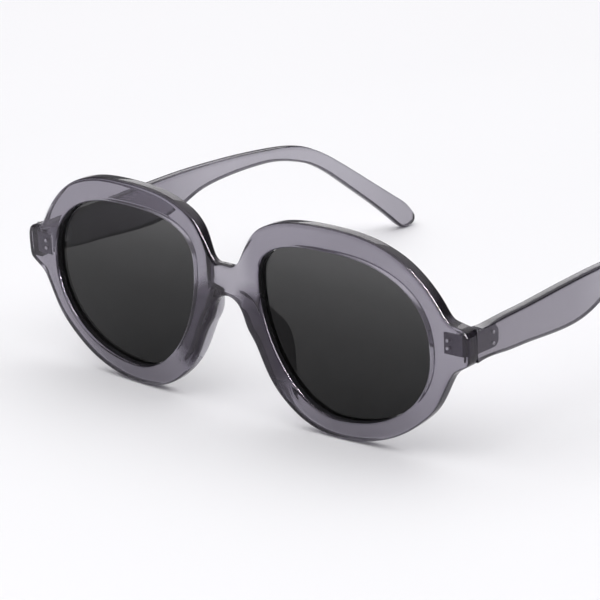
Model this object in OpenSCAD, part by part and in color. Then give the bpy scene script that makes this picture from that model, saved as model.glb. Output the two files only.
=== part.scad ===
// Oversized sunglasses: a translucent plastic front, two tinted lenses, two glued nose pads and
// two folding temples on five-knuckle riveted hinges. +Z is up, +X is the wearer's left and the
// temples run back along +Y. The pair stands on its two rims and its two temple tips.

/* [Lenses] */
// Width of a lens across its bevel
lens_w = 51.4; // [47:0.2:56]
// Height of a lens across its bevel
lens_h = 43; // [38:0.2:46]
// Gap between the two lenses
bridge_w = 20.6; // [18:0.2:24]
// Thickness of a lens
lens_t = 1.8; // [1.4:0.1:1.9]
// Radius of the sphere that a lens follows
lens_bend_r = 260; // [220:10:400]
// Depth of the bevel round a lens
bevel = 0.4; // [0.3:0.05:0.6]
// Width of the bevel round a lens
bevel_t = 0.8; // [0.5:0.1:1]
// Depth of a lens's middle behind the front face
lens_recess = 1; // [0.8:0.1:1.2]
// Squareness of the upper outer, upper inner, lower inner and lower outer quarters (2 is round)
quarter_power_shares = [2.4, 2.65, 1.9, 2.08];
// Sideways place of the lens's highest and lowest points, as shares of its half width
peak_share = -0.15; // [-0.2:0.01:0.2]
foot_share = -0.11; // [-0.2:0.01:0.2]
// Height of the lens's outermost and innermost points, as shares of its half height
outer_share = 0.02; // [-0.2:0.01:0.3]
inner_share = 0.46; // [0:0.01:0.6]

/* [Front] */
// Thickness of the front
front_t = 3.8; // [3.7:0.1:5]
// Radius of the front's wrap round the face
bend_r = 660; // [500:10:900]
// Lean of the front's top away from the face, in degrees
tilt = 2.6; // [0:0.1:6]
// Width of the rim above the lens
rim_top = 6.2; // [4.5:0.1:8]
// Width of the rim below the lens
rim_bottom = 4.9; // [4:0.1:7]
// Width of the rim on the nose side
rim_inner = 5.5; // [5:0.1:7]
// Width of the rim on the temple side
rim_outer = 5.6; // [4.4:0.1:6.5]
// Extra width of the upper outer, upper inner, lower inner and lower outer corners of a rim
rim_corner_shares = [-0.03, 0.03, 0.18, -0.14];
// Height of the bridge's top above the lens's middle
bridge_top = 12.2; // [11:0.1:14]
// Height of the bridge at its middle
bridge_h = 8.3; // [6:0.1:9.5]
// Reach of the end piece beyond the lens
end_reach = 10.7; // [9.5:0.1:13]
// Height of the end piece at its outer end
end_h = 8.9; // [8.5:0.1:12]
// Height of the end piece's middle above the lens's middle
end_z = 3.8; // [2:0.1:6]

/* [Nose pads] */
// Length of a nose pad along the rim
pad_l = 24; // [18:0.5:26]
// Reach of a nose pad behind the front
pad_reach = 5.8; // [4:0.1:7]
// Thickness of a nose pad
pad_t = 2.4; // [1.8:0.1:3]
// Drop of a nose pad's middle below the lens's middle
pad_drop = 7; // [5:0.5:9]
// Lean of a nose pad from upright, seen from the front, in degrees
pad_lean = 27; // [20:1:30]
// Splay of a nose pad from straight back, in degrees
pad_splay = 28; // [20:1:35]

/* [Temples] */
// Reach of a temple from the hinge pin to its tip
temple_reach = 138.2; // [130:0.2:150]
// Thickness of a temple
temple_t = 3.2; // [2.8:0.1:3.6]
// Height of a temple at the hinge
temple_h = 7.6; // [7.4:0.1:10]
// Inward slant of an open temple, in degrees
converge = 2; // [0:0.5:5]
// Gap between an open temple's end and the front
mitre_gap = 0.15; // [0.1:0.05:0.3]
// Set-in of a temple's outer face from the end of the front
temple_inset = 0.1; // [0:0.05:0.4]

/* [Hinges] */
// Height of a hinge
hinge_h = 5.2; // [4.6:0.1:5.4]
// Radius of a knuckle
knuckle_r = 1.2; // [1.1:0.05:1.3]
// Gap between neighbouring knuckles
knuckle_gap = 0.08; // [0.05:0.01:0.12]
// Thickness of a hinge's leaves
leaf_t = 0.8; // [0.6:0.05:1]
// Depth of the front leaf below the face that it is let into
leaf_sink = 0.4; // [0.3:0.05:0.6]
// Reach of the front leaf inward from the hinge pin
front_leaf_l = 4; // [3.8:0.1:4.6]
// Reach of the temple leaf back from the hinge pin
temple_leaf_l = 8; // [7.5:0.5:12]
// Radius of the temple leaf's far corners
leaf_corner_r = 1.8; // [1:0.1:2.2]
// Distance from the hinge pin out to the temple's inner face
pin_offset = 0.7; // [0.5:0.05:1]
// Clearance between the knuckles and what turns round them
knuckle_clear = 0.25; // [0.2:0.05:0.4]
// Radius of the screw's shank
screw_r = 0.6; // [0.5:0.05:0.7]
// Clearance of the screw in the knuckles
screw_clear = 0.05; // [0.02:0.01:0.08]
// Radius of the screw's head
head_r = 1.1; // [0.9:0.05:1.2]
// Height of the screw's head
head_h = 0.7; // [0.5:0.1:0.8]
// Width of the slot in the screw's head
slot_w = 0.3; // [0.2:0.05:0.4]
// Depth of the slot in the screw's head
slot_d = 0.3; // [0.2:0.05:0.4]

/* [Rivets] */
// Radius of a rivet's shank
rivet_r = 0.45; // [0.4:0.05:0.5]
// Radius of a rivet's head
rivet_head_r = 0.75; // [0.6:0.05:0.8]
// Height of a rivet's head
rivet_head_h = 0.3; // [0.2:0.05:0.4]
// Length of a front rivet's shank
front_rivet_l = 2.4; // [2:0.1:2.8]
// Length of a temple rivet's shank
temple_rivet_l = 2.2; // [1.8:0.1:2.4]
// Distance from the hinge pin in to the front rivets
front_rivet_x = 2.4; // [2.2:0.1:2.6]
// Distance from the hinge pin back to the temple rivets
temple_rivet_y = 5.5; // [5:0.5:6.5]
// Spacing of the two front rivets
front_rivet_pitch = 1.9; // [1.8:0.1:2.4]
// Spacing of the two temple rivets
temple_rivet_pitch = 2.7; // [2:0.1:3]

/* [Hidden] */
$fn = 96;
// Facets on the very large cylinders and spheres that bend the front and the lenses
bend_fn = 720;
// Gap all round a piece that is set into another
fit_gap = 0.05;
// Glue line under a nose pad
glue_gap = 0.02;
// Overrun of every cut past the face that it leaves
over = 1;
// Points along each quarter of a lens, and between neighbouring points of a drawn curve
quarter_steps = 14;
curve_steps = 3;

// Size of the hole that the lens is seen through
hole_w = lens_w - 2 * bevel;
hole_h = lens_h - 2 * bevel;
lens_x = (lens_w + bridge_w) / 2;

// Half width of the whole front, and the place of its lowest edge
front_half_w = lens_x + lens_w / 2 + end_reach;
front_z = (hole_h / 2 + rim_bottom) * cos(tilt);

// The flat faces behind the end pieces where the temples meet the front
mitre_x = front_half_w - temple_inset - temple_t;
mitre_y = mitre_x * mitre_x / (2 * bend_r) + front_t;
seat_y = mitre_y * cos(tilt) - end_z * sin(tilt);

// The hinge pin, and the heights of its knuckles
hinge_x = mitre_x - pin_offset;
hinge_y = seat_y + knuckle_r + knuckle_clear;
hinge_z = front_z + mitre_y * sin(tilt) + end_z * cos(tilt);
knuckles = 5;
knuckle_pitch = hinge_h / knuckles;
// Front face of the front leaf, which lies a little below the flat face
leaf_y = seat_y - leaf_t - leaf_sink;

// The origin is under the middle of the whole outline
row_y = (hinge_y + temple_reach * cos(converge) - (hole_h / 2 + rim_top) * sin(tilt)) / 2;

// Top of a temple over the hinge, which the heights of its outline follow
temple_top = hinge_z + temple_h / 2;
temple_foot_share = (hinge_z - temple_h / 2) / temple_top;

// Upper and lower edges of a temple: shares of its reach, and of the height of its top
temple_top_shares = [
    [-0.03, 0.991], [0, 0.995], [0.054, 1.007], [0.109, 1.02], [0.166, 1.034], [0.224, 1.05],
    [0.282, 1.063], [0.34, 1.072], [0.391, 1.073], [0.441, 1.069], [0.492, 1.062], [0.55, 1.047],
    [0.608, 1.025], [0.655, 0.995], [0.69, 0.954], [0.721, 0.896], [0.75, 0.832], [0.807, 0.681],
    [0.864, 0.522], [0.923, 0.357], [0.953, 0.274]
];
temple_tip_shares = [
    [0.973, 0.215], [0.989, 0.15], [1, 0.08], [0.996, 0.027], [0.983, 0.003], [0.971, 0],
    [0.958, 0.022]
];
temple_foot_shares = [
    [0.941, 0.077], [0.885, 0.265], [0.827, 0.445], [0.77, 0.619], [0.742, 0.699], [0.714, 0.767],
    [0.687, 0.82], [0.658, 0.86], [0.63, 0.891], [0.593, 0.917], [0.55, 0.926], [0.496, 0.923],
    [0.44, 0.908], [0.394, 0.882], [0.358, 0.84], [0.33, 0.795], [0.3, 0.759], [0.271, 0.74],
    [0.239, 0.733], [0.188, 0.737], [0.13, 0.748], [0.065, 0.761]
];

// The bridge's top and underside: shares of half the gap between the lenses, and of its height
notch_shares = [[0, 1], [0.28, 1.01], [0.47, 1.19]];
arch_shares = [[0.58, -0.86], [0.43, -0.37], [0.25, -0.1], [0, 0]];

// The end piece: shares of its reach back from its end, and of its height from its middle
end_shares = [
    [-0.75, 1.05], [-0.57, 0.73], [-0.36, 0.56], [-0.14, 0.5], [-0.025, 0.34], [0, -0.08],
    [-0.025, -0.42], [-0.13, -0.55], [-0.34, -0.69], [-0.52, -0.9]
];

// Where the front's outline follows the rims, in degrees round the lens
rim_top_angles = [148:-14:36];
rim_bottom_angles = [334:-14:208];

frame_color = [0.56, 0.54, 0.6];
lens_color = [0.16, 0.16, 0.16];
metal_color = [0.72, 0.72, 0.74];

// Smooth curve through points: a centripetal Catmull-Rom spline, drawn in short straight steps
function knot(a, b) = sqrt(norm(b - a));
function mix(a, b, ta, tb, t) = a * (tb - t) / (tb - ta) + b * (t - ta) / (tb - ta);
function spline_point(p, k, t) =
    let (a = mix(p[0], p[1], k[0], k[1], t), b = mix(p[1], p[2], k[1], k[2], t))
    let (c = mix(p[2], p[3], k[2], k[3], t))
    mix(mix(a, b, k[0], k[2], t), mix(b, c, k[1], k[3], t), k[1], k[2], t);
function spline_piece(p) =
    let (k1 = knot(p[0], p[1]), k2 = k1 + knot(p[1], p[2]), k3 = k2 + knot(p[2], p[3]))
    [for (i = [0:curve_steps - 1])
        spline_point(p, [0, k1, k2, k3], k1 + (k2 - k1) * i / curve_steps)];
function closed_curve(p) =
    let (n = len(p))
    [for (i = [0:n - 1], q = spline_piece([for (j = [-1:2]) p[(i + j + n) % n]])) q];

// A lens's edge: four quarters of a superellipse, each from one outermost point to the next.
// The angle counts round from the temple side over the top, and grow moves the edge outward.
function quarter(a) = floor((a % 360) / 90);
function lens_corner(a) =
    let (upper = a % 360 < 180, outer = quarter(a) == 0 || quarter(a) == 3)
    [(upper ? peak_share : foot_share) * hole_w / 2, (outer ? outer_share : inner_share) * hole_h / 2];
function lens_half(a) =
    let (c = lens_corner(a), outer = quarter(a) == 0 || quarter(a) == 3, upper = a % 360 < 180)
    [outer ? hole_w / 2 - c.x : hole_w / 2 + c.x, upper ? hole_h / 2 - c.y : hole_h / 2 + c.y];
function lens_power(a) = quarter_power_shares[quarter(a)];
function power(v, e) = sign(v) * pow(abs(v), e);
function lens_point(a) =
    let (h = lens_half(a), e = 2 / lens_power(a))
    lens_corner(a) + [h.x * power(cos(a), e), h.y * power(sin(a), e)];
function lens_normal(a) =
    let (h = lens_half(a), e = 2 - 2 / lens_power(a))
    let (n = [power(cos(a), e) / h.x, power(sin(a), e) / h.y])
    n / norm(n);
function lens_edge(grow) =
    [for (i = [0:4 * quarter_steps - 1])
        let (a = 90 * i / quarter_steps)
        [lens_x, 0] + lens_point(a) + grow * lens_normal(a)];

// The rim's outer edge: its width eases from side to top by the direction it faces
function rim_side(n) = n.x > 0 ? rim_outer : rim_inner;
function rim_end(n) = n.y > 0 ? rim_top : rim_bottom;
function rim_corner(n) = rim_corner_shares[n.x > 0 ? (n.y > 0 ? 0 : 3) : (n.y > 0 ? 1 : 2)];
function rim_width(n) =
    let (both = 4 * n.x * n.x * n.y * n.y)
    rim_side(n) * n.x * n.x + rim_end(n) * n.y * n.y + rim_corner(n) * both * rim_end(n);
function rim_point(a) =
    let (n = lens_normal(a))
    [lens_x, 0] + lens_point(a) + rim_width(n) * n;

function half_outline() = concat(
    [for (s = notch_shares) [s.x * bridge_w / 2, bridge_top * s.y]],
    [for (a = rim_top_angles) rim_point(a)],
    [for (s = end_shares) [front_half_w + s.x * end_reach, end_z + s.y * end_h]],
    [for (a = rim_bottom_angles) rim_point(a)],
    [for (s = arch_shares) [s.x * bridge_w / 2, bridge_top - bridge_h + s.y * bridge_h]]
);
function mirrored(p) = [for (i = [len(p) - 2:-1:1]) [-p[i].x, p[i].y]];
function front_outline() = closed_curve(concat(half_outline(), mirrored(half_outline())));

function temple_outline() =
    let (edge = concat(temple_top_shares, temple_tip_shares, temple_foot_shares))
    let (end = [[0, temple_foot_share], [-0.03, temple_foot_share]])
    closed_curve([for (s = concat(edge, end)) [s.x * temple_reach, s.y * temple_top]]);

// A lobe behind the rim: half of an ellipse, carried forward into the front
function pad_outline() =
    [for (i = [0:2 * quarter_steps])
        let (a = 90 * i / quarter_steps)
        [pad_reach / cos(pad_splay) * sin(a) - (i % (2 * quarter_steps) == 0 ? front_t : 0),
            pad_l / 2 * cos(a)]];

// Everything is drawn round the bridge and then moved to the origin of the whole part
module placed() translate([0, -row_y, 0]) children();
module leaned() placed() translate([0, 0, front_z]) rotate([tilt, 0, 0]) children();
module on_right(right) mirror([right ? 1 : 0, 0, 0]) children();

// A shape drawn as seen from the front, run straight back from one depth to another
module run_back(from, to) translate([0, to, 0]) rotate([90, 0, 0]) linear_extrude(to - from) children();

// The space between two depths behind the wrapped front face
module wrapped(from, to) {
    tall = 4 * lens_h;
    translate([0, bend_r, -tall / 2]) difference() {
        cylinder(r = bend_r - from, h = tall, $fn = bend_fn);
        translate([0, 0, -over]) cylinder(r = bend_r - to, h = tall + 2 * over, $fn = bend_fn);
    }
}

// The space between two depths inside a lens's sphere
module domed(from, to) {
    turn = asin(lens_x / bend_r);
    translate([0, bend_r, 0]) rotate([0, 0, turn])
        translate([0, lens_bend_r + lens_recess - bend_r, 0]) difference() {
            sphere(r = lens_bend_r - from, $fn = bend_fn);
            sphere(r = lens_bend_r - to, $fn = bend_fn);
        }
}

// One lens, or the room for it, with its bevel standing out all round
module lens_solid(grow, thicker) {
    deep = 4 * front_t;
    middle = lens_t / 2;
    intersection() {
        run_back(-deep, deep) polygon(lens_edge(grow));
        domed(0, lens_t);
    }
    intersection() {
        run_back(-deep, deep) polygon(lens_edge(bevel + thicker - fit_gap));
        domed(middle - bevel_t / 2 - thicker, middle + bevel_t / 2 + thicker);
    }
}

module lens_groove() {
    deep = 4 * front_t;
    middle = lens_t / 2;
    run_back(-deep, deep) polygon(lens_edge(0));
    intersection() {
        run_back(-deep, deep) polygon(lens_edge(bevel + fit_gap));
        domed(middle - bevel_t / 2 - fit_gap, middle + bevel_t / 2 + fit_gap);
    }
}

module front_plate() {
    deep = 4 * front_t;
    leaned() intersection() {
        run_back(-deep, deep) polygon(front_outline());
        wrapped(0, front_t);
    }
}

// Everything behind the flat faces, or everything before them with a gap
module behind_mitre() leaned() translate([mitre_x, mitre_y, -lens_h])
    cube([end_reach, front_t, 2 * lens_h]);
module before_mitre() leaned() translate([hinge_x, mitre_y + mitre_gap - temple_reach, -lens_h])
    cube([end_reach, temple_reach, 2 * lens_h]);

module front_frame() color(frame_color) difference() {
    front_plate();
    for (right = [false, true]) on_right(right) {
        leaned() lens_groove();
        behind_mitre();
        placed() {
            front_leaf_room();
            for (up = [-1, 1]) front_rivet_at(up) rivet_room(front_rivet_l);
        }
    }
}

module front_leaf_room() {
    translate([hinge_x - front_leaf_l - fit_gap, leaf_y - fit_gap, hinge_z - hinge_h / 2 - fit_gap])
        cube([front_leaf_l + knuckle_r + 2 * fit_gap, front_t, hinge_h + 2 * fit_gap]);
}

module lens(right) color(lens_color) on_right(right) leaned() lens_solid(-fit_gap, 0);

module nose_pad(right) color(frame_color) on_right(right) leaned() {
    foot = rim_foot();
    intersection() {
        translate([foot, front_t, -pad_drop])
            rotate([0, -pad_lean, 0]) rotate([0, 0, -pad_splay]) rotate([90, 0, 90])
                linear_extrude(pad_t) polygon(pad_outline());
        translate([0, bend_r, -2 * lens_h])
            cylinder(r = bend_r - front_t - glue_gap, h = 4 * lens_h, $fn = bend_fn);
    }
}

// Where the rim's nose side lies at the height of the nose pad's middle
function rim_foot() =
    let (near = [for (a = [180:2:260]) if (rim_point(a).y < -pad_drop) rim_point(a).x])
    near[0] + pad_t / 3;

// One knuckle of the five, counted from the bottom, with the bore for the screw
module knuckle(i) {
    low = hinge_z - hinge_h / 2 + i * knuckle_pitch + knuckle_gap / 2;
    translate([hinge_x, hinge_y, low]) cylinder(r = knuckle_r, h = knuckle_pitch - knuckle_gap);
}
module screw_bore() {
    translate([hinge_x, hinge_y, hinge_z - hinge_h])
        cylinder(r = screw_r + screw_clear, h = 2 * hinge_h);
}

module front_hinge(right) color(metal_color) on_right(right) placed() difference() {
    union() {
        translate([hinge_x - front_leaf_l, leaf_y, hinge_z - hinge_h / 2])
            cube([front_leaf_l + knuckle_r, leaf_t, hinge_h]);
        for (i = [0:2:knuckles - 1]) {
            knuckle(i);
            low = hinge_z - hinge_h / 2 + i * knuckle_pitch + knuckle_gap / 2;
            translate([hinge_x - knuckle_r, leaf_y + leaf_t / 2, low])
                cube([knuckle_r, hinge_y - leaf_y - leaf_t / 2, knuckle_pitch - knuckle_gap]);
        }
    }
    screw_bore();
    for (up = [-1, 1]) front_rivet_at(up) rivet_bore();
}

// The temple leaf's outline, with its far corners rounded
module temple_leaf_shape(grow) {
    far = temple_leaf_l + grow;
    half = hinge_h / 2 + grow;
    translate([0, -half]) square([far - leaf_corner_r, 2 * half]);
    translate([0, leaf_corner_r - half]) square([far, 2 * (half - leaf_corner_r)]);
    for (up = [-1, 1]) translate([far - leaf_corner_r, up * (half - leaf_corner_r)])
        circle(r = leaf_corner_r);
}

// The temple leaf's plate, let into the temple's inner face
module temple_leaf_plate(grow) {
    translate([hinge_x + pin_offset, hinge_y, hinge_z]) rotate([90, 0, 90])
        linear_extrude(leaf_t - fit_gap + grow) temple_leaf_shape(grow);
}

// Room for the fixed knuckles and the screw's head beside the temple, open at the temple's end
module knuckle_room(extra) {
    room_r = knuckle_r + knuckle_clear;
    room_h = hinge_h + 2 * extra + head_h;
    translate([hinge_x, hinge_y, hinge_z - hinge_h / 2 - extra]) {
        cylinder(r = room_r, h = room_h);
        translate([0, -room_r - over, 0]) cube([knuckle_r, room_r + over, room_h]);
    }
}

// What an open temple carries is drawn straight and then turned inward about the hinge pin
module slanted() {
    translate([hinge_x, hinge_y, 0]) rotate([0, 0, converge]) translate([-hinge_x, -hinge_y, 0])
        children();
}

module temple_hinge(right) color(metal_color) on_right(right) placed() slanted() difference() {
    union() {
        difference() {
            temple_leaf_plate(0);
            knuckle_room(over);
        }
        for (i = [1:2:knuckles - 1]) {
            knuckle(i);
            low = hinge_z - hinge_h / 2 + i * knuckle_pitch + knuckle_gap / 2;
            translate([hinge_x, hinge_y, low])
                cube([pin_offset + leaf_t - fit_gap, 2 * knuckle_r, knuckle_pitch - knuckle_gap]);
        }
    }
    screw_bore();
    for (up = [-1, 1]) temple_rivet_at(up) rivet_bore();
}

module hinge_screw(right) color(metal_color) on_right(right) placed() {
    head_z = hinge_z + hinge_h / 2 - knuckle_gap / 2;
    shank_l = hinge_h - knuckle_gap / 2 + (head_h - slot_d) / 2;
    translate([hinge_x, hinge_y, hinge_z - hinge_h / 2]) cylinder(r = screw_r, h = shank_l);
    translate([hinge_x, hinge_y, head_z]) difference() {
        cylinder(r = head_r, h = head_h);
        translate([-head_r - over, -slot_w / 2, head_h - slot_d])
            cube([2 * (head_r + over), slot_w, slot_d + over]);
    }
}

// A rivet lies along +Y from its head's seat, with its head behind it
module rivet(l) {
    rotate([90, 0, 0]) {
        translate([0, 0, -l]) cylinder(r = rivet_r, h = l + rivet_head_h / 2);
        cylinder(r = rivet_head_r, h = rivet_head_h);
    }
}
module rivet_room(l) rotate([90, 0, 0]) translate([0, 0, -l - fit_gap])
    cylinder(r = rivet_r + fit_gap, h = l + fit_gap + over);
module rivet_bore() rotate([90, 0, 0]) translate([0, 0, -leaf_t - over])
    cylinder(r = rivet_r + fit_gap, h = leaf_t + 2 * over);

module front_rivet_at(up) {
    translate([hinge_x - front_rivet_x, leaf_y + leaf_t, hinge_z + up * front_rivet_pitch / 2])
        rotate([0, 0, 180]) children();
}
module temple_rivet_at(up) {
    translate([hinge_x + pin_offset, hinge_y + temple_rivet_y, hinge_z + up * temple_rivet_pitch / 2])
        rotate([0, 0, -90]) children();
}

module front_rivet(right, up) color(metal_color) on_right(right) placed() front_rivet_at(up)
    rivet(front_rivet_l);
module temple_rivet(right, up) color(metal_color) on_right(right) placed() slanted()
    temple_rivet_at(up) rivet(temple_rivet_l);

module temple(right) color(frame_color) on_right(right) difference() {
    placed() slanted() difference() {
        translate([hinge_x + pin_offset, hinge_y, 0]) rotate([90, 0, 90])
            linear_extrude(temple_t) polygon(temple_outline());
        temple_leaf_plate(fit_gap);
        knuckle_room(fit_gap);
        for (up = [-1, 1]) temple_rivet_at(up) rivet_room(temple_rivet_l);
    }
    before_mitre();
}

front_frame();
lens(false);  // lens_left
lens(true);  // lens_right
nose_pad(false);  // nose_pad_left
nose_pad(true);  // nose_pad_right
front_hinge(false);  // front_hinge_left
front_hinge(true);  // front_hinge_right
temple_hinge(false);  // temple_hinge_left
temple_hinge(true);  // temple_hinge_right
hinge_screw(false);  // hinge_screw_left
hinge_screw(true);  // hinge_screw_right
front_rivet(false, 1);  // front_rivet_upper_left
front_rivet(false, -1);  // front_rivet_lower_left
front_rivet(true, 1);  // front_rivet_upper_right
front_rivet(true, -1);  // front_rivet_lower_right
temple_rivet(false, 1);  // temple_rivet_upper_left
temple_rivet(false, -1);  // temple_rivet_lower_left
temple_rivet(true, 1);  // temple_rivet_upper_right
temple_rivet(true, -1);  // temple_rivet_lower_right
temple(false);  // temple_left
temple(true);  // temple_right
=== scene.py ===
"""The look of the oversized sunglasses: rounded translucent plastic, dark lenses, metal hinges and a pale studio."""

import math

import bmesh
import bpy
import numpy as np
from mathutils import Matrix, Vector
from mathutils.geometry import delaunay_2d_cdt


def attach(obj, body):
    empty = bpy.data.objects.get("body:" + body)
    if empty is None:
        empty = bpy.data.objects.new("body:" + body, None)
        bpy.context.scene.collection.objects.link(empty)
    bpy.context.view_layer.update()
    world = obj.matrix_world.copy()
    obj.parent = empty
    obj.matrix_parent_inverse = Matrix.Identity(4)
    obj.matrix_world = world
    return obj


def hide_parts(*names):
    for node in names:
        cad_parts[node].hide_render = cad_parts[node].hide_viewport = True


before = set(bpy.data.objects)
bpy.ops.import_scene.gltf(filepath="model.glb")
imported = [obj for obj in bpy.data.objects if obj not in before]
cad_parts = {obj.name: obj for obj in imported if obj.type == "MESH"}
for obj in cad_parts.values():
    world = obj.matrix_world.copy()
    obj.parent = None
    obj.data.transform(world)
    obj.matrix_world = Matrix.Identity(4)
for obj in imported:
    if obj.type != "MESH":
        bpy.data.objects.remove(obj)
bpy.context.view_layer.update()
scene = bpy.context.scene
MM = 0.001

# Sizes in millimetres and radians. Down to the hinges they are the CAD's
LENS_W, LENS_H, BRIDGE_W, BEVEL = 51.4, 43.0, 20.6, 0.4
# The lens: an oval of four quarters, each with its own power, whose widest and highest places are off the middle
POWERS = [2.4, 2.65, 1.9, 2.08]
PEAK, FOOT, OUTER, INNER = -0.15, -0.11, 0.02, 0.46
# How wide the rim is on each side, and the share that it gains between two sides
RIM = dict(top=6.2, bottom=4.9, inner=5.5, outer=5.6)
CORNERS = [-0.03, 0.03, 0.18, -0.14]
# The bridge and the end pieces: sizes, and points of their outlines in shares of these
BRIDGE_TOP, BRIDGE_H, END_REACH, END_H, END_Z = 12.2, 8.3, 10.7, 8.9, 3.8
NOTCH = [[0, 1], [0.28, 1.01], [0.47, 1.19]]
ARCH = [[0.58, -0.86], [0.43, -0.37], [0.25, -0.1], [0, 0]]
END = [[-0.75, 1.05], [-0.57, 0.73], [-0.36, 0.56], [-0.14, 0.5], [-0.025, 0.34], [0, -0.08],
       [-0.025, -0.42], [-0.13, -0.55], [-0.34, -0.69], [-0.52, -0.9]]
FRONT_T, BEND_R, TILT = 3.8, 660.0, math.radians(2.6)
LENS_T, LENS_R, RECESS = 1.8, 260.0, 1.0
GAP = 0.05
TEMPLE_T, TEMPLE_H, TEMPLE_INSET, REACH, CONVERGE = 3.2, 7.6, 0.1, 138.2, math.radians(2.0)
PAD_T, PAD_DROP = 2.4, 7.0
PAD_LEAN, PAD_SPLAY = math.radians(27), math.radians(28)
# Hinges: half the height of the leaves, their reach from the pin and the depth of their pockets, the distance from the
# pin out to the temple, the radius of the room round the knuckles, the height of the screw's head, and the gap at the
# temple's seat
LEAF_HALF, FRONT_LEAF_IN, FRONT_LEAF_OUT, FRONT_POCKET = 2.6, 4.0, 1.2, 1.2
TEMPLE_LEAF, LEAF_CORNER, TEMPLE_POCKET = 8.0, 1.8, 0.8
PIN_OUT, KNUCKLE_ROOM, HEAD_H, SEAT_GAP = 0.7, 1.45, 0.7, 0.15
# Radii of the edges. The end pieces and temples are sharper where they meet: the end pieces from an X on, over a
# length, and the temples up to a distance from their seats, until a second one
EDGE_R, HOLE_FRONT_R, HOLE_BACK_R, TEMPLE_R, SEAT_R, TEMPLE_SEAT_R = 1.1, 0.7, 0.35, 1.15, 0.12, 0.14
END_EASE, END_LESS, TEMPLE_EASE = (66.8, 1.6), 0.25, (0.4, 11)
# How far the flat seats reach in from the temples, and how much too long a temple is drawn before it is cut
SEAT_IN, TEMPLE_OVER = 1.5, 1.5
# The saddle behind the bridge: how deep it is, and where it fades across, up and into the plate
SADDLE, SADDLE_X, SADDLE_Z, SADDLE_FROM = 1.35, (3.6, 8.6), (-1, 3), 1.2
# Meshes: the points inside the faces are this far apart, edges over this angle in degrees stay sharp, and points
# nearer than MERGE become one
FRONT_MESH, LENS_MESH, TEMPLE_MESH, SHARP, FRONT_SHARP, MERGE = 1.7, 2.0, 1.6, 30, 40, 1e-7
HOLE_W, HOLE_H = LENS_W - 2 * BEVEL, LENS_H - 2 * BEVEL
LENS_X = (LENS_W + BRIDGE_W) / 2
HALF_W = LENS_X + LENS_W / 2 + END_REACH
FRONT_Z = (HOLE_H / 2 + RIM["bottom"]) * math.cos(TILT)
MITRE_X = HALF_W - TEMPLE_INSET - TEMPLE_T
MITRE_Y = MITRE_X ** 2 / (2 * BEND_R) + FRONT_T
SEAT_Y = MITRE_Y * math.cos(TILT) - END_Z * math.sin(TILT)
HINGE_X = MITRE_X - PIN_OUT
HINGE_Y = SEAT_Y + KNUCKLE_ROOM
HINGE_Z = FRONT_Z + MITRE_Y * math.sin(TILT) + END_Z * math.cos(TILT)
ROW_Y = (HINGE_Y + REACH * math.cos(CONVERGE) - (HOLE_H / 2 + RIM["top"]) * math.sin(TILT)) / 2
TEMPLE_TOP = HINGE_Z + TEMPLE_H / 2


# ---------------------------------------------------------------- outlines
def power(v, e):
    """A power of a number's size, with its sign."""
    return math.copysign(abs(v) ** e, v) if abs(v) > 1e-12 else 0.0


def lens_frame(a):
    """A point of the lens's edge and the direction that it faces, at an angle round the lens."""
    a %= 360
    outer, upper = a < 90 or a >= 270, a < 180
    c = np.array([(PEAK if upper else FOOT) * HOLE_W / 2, (OUTER if outer else INNER) * HOLE_H / 2])
    h = np.array([HOLE_W / 2 - c[0] if outer else HOLE_W / 2 + c[0],
                  HOLE_H / 2 - c[1] if upper else HOLE_H / 2 + c[1]])
    p = POWERS[int(a // 90)]
    co, si = math.cos(math.radians(a)), math.sin(math.radians(a))
    point = c + h * [power(co, 2 / p), power(si, 2 / p)]
    n = np.array([power(co, 2 - 2 / p), power(si, 2 - 2 / p)]) / h
    return point + [LENS_X, 0], n / np.hypot(*n)


def rim_point(a):
    """A point of the rim's outside at an angle round the lens."""
    p, n = lens_frame(a)
    side = RIM["outer"] if n[0] > 0 else RIM["inner"]
    end = RIM["top"] if n[1] > 0 else RIM["bottom"]
    corner = CORNERS[(0 if n[1] > 0 else 3) if n[0] > 0 else (1 if n[1] > 0 else 2)]
    width = side * n[0] ** 2 + end * n[1] ** 2 + corner * 4 * n[0] ** 2 * n[1] ** 2 * end
    return p + width * n


def closed_spline(points, step):
    """A smooth closed curve through points, sampled evenly: a periodic cubic in the centripetal parameter."""
    p = np.array(points, float)
    n = len(p)
    k = np.sqrt(np.hypot(*(np.roll(p, -1, 0) - p).T))
    t = np.r_[0, np.cumsum(k)]
    a = np.zeros((n, n))
    b = np.zeros((n, 2))
    for i in range(n):
        h0, h1 = k[i - 1], k[i]
        a[i, i - 1] += h0
        a[i, i] += 2 * (h0 + h1)
        a[i, (i + 1) % n] += h1
        b[i] = 6 * ((p[(i + 1) % n] - p[i]) / h1 - (p[i] - p[i - 1]) / h0)
    m = np.linalg.solve(a, b)
    fine = []
    for i in range(n):
        h, j = k[i], (i + 1) % n
        for s in np.linspace(0, h, 24, endpoint=False):
            u, v = h - s, s
            fine.append(m[i] * u ** 3 / (6 * h) + m[j] * v ** 3 / (6 * h)
                        + (p[i] / h - m[i] * h / 6) * u + (p[j] / h - m[j] * h / 6) * v)
    return even(np.array(fine), step)


def even(loop, step):
    """The same closed loop with points about step apart."""
    d = np.r_[0, np.cumsum(np.hypot(*(np.roll(loop, -1, 0) - loop).T))]
    n = max(16, int(round(d[-1] / step)))
    at = np.linspace(0, d[-1], n, endpoint=False)
    closed = np.vstack([loop, loop[:1]])
    return np.stack([np.interp(at, d, closed[:, i]) for i in (0, 1)], 1)


def soften(loop, times):
    """The closed loop with each point moved towards its neighbours, a number of times."""
    for _ in range(times):
        loop = loop * 0.5 + (np.roll(loop, 1, 0) + np.roll(loop, -1, 0)) * 0.25
    return loop


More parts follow.
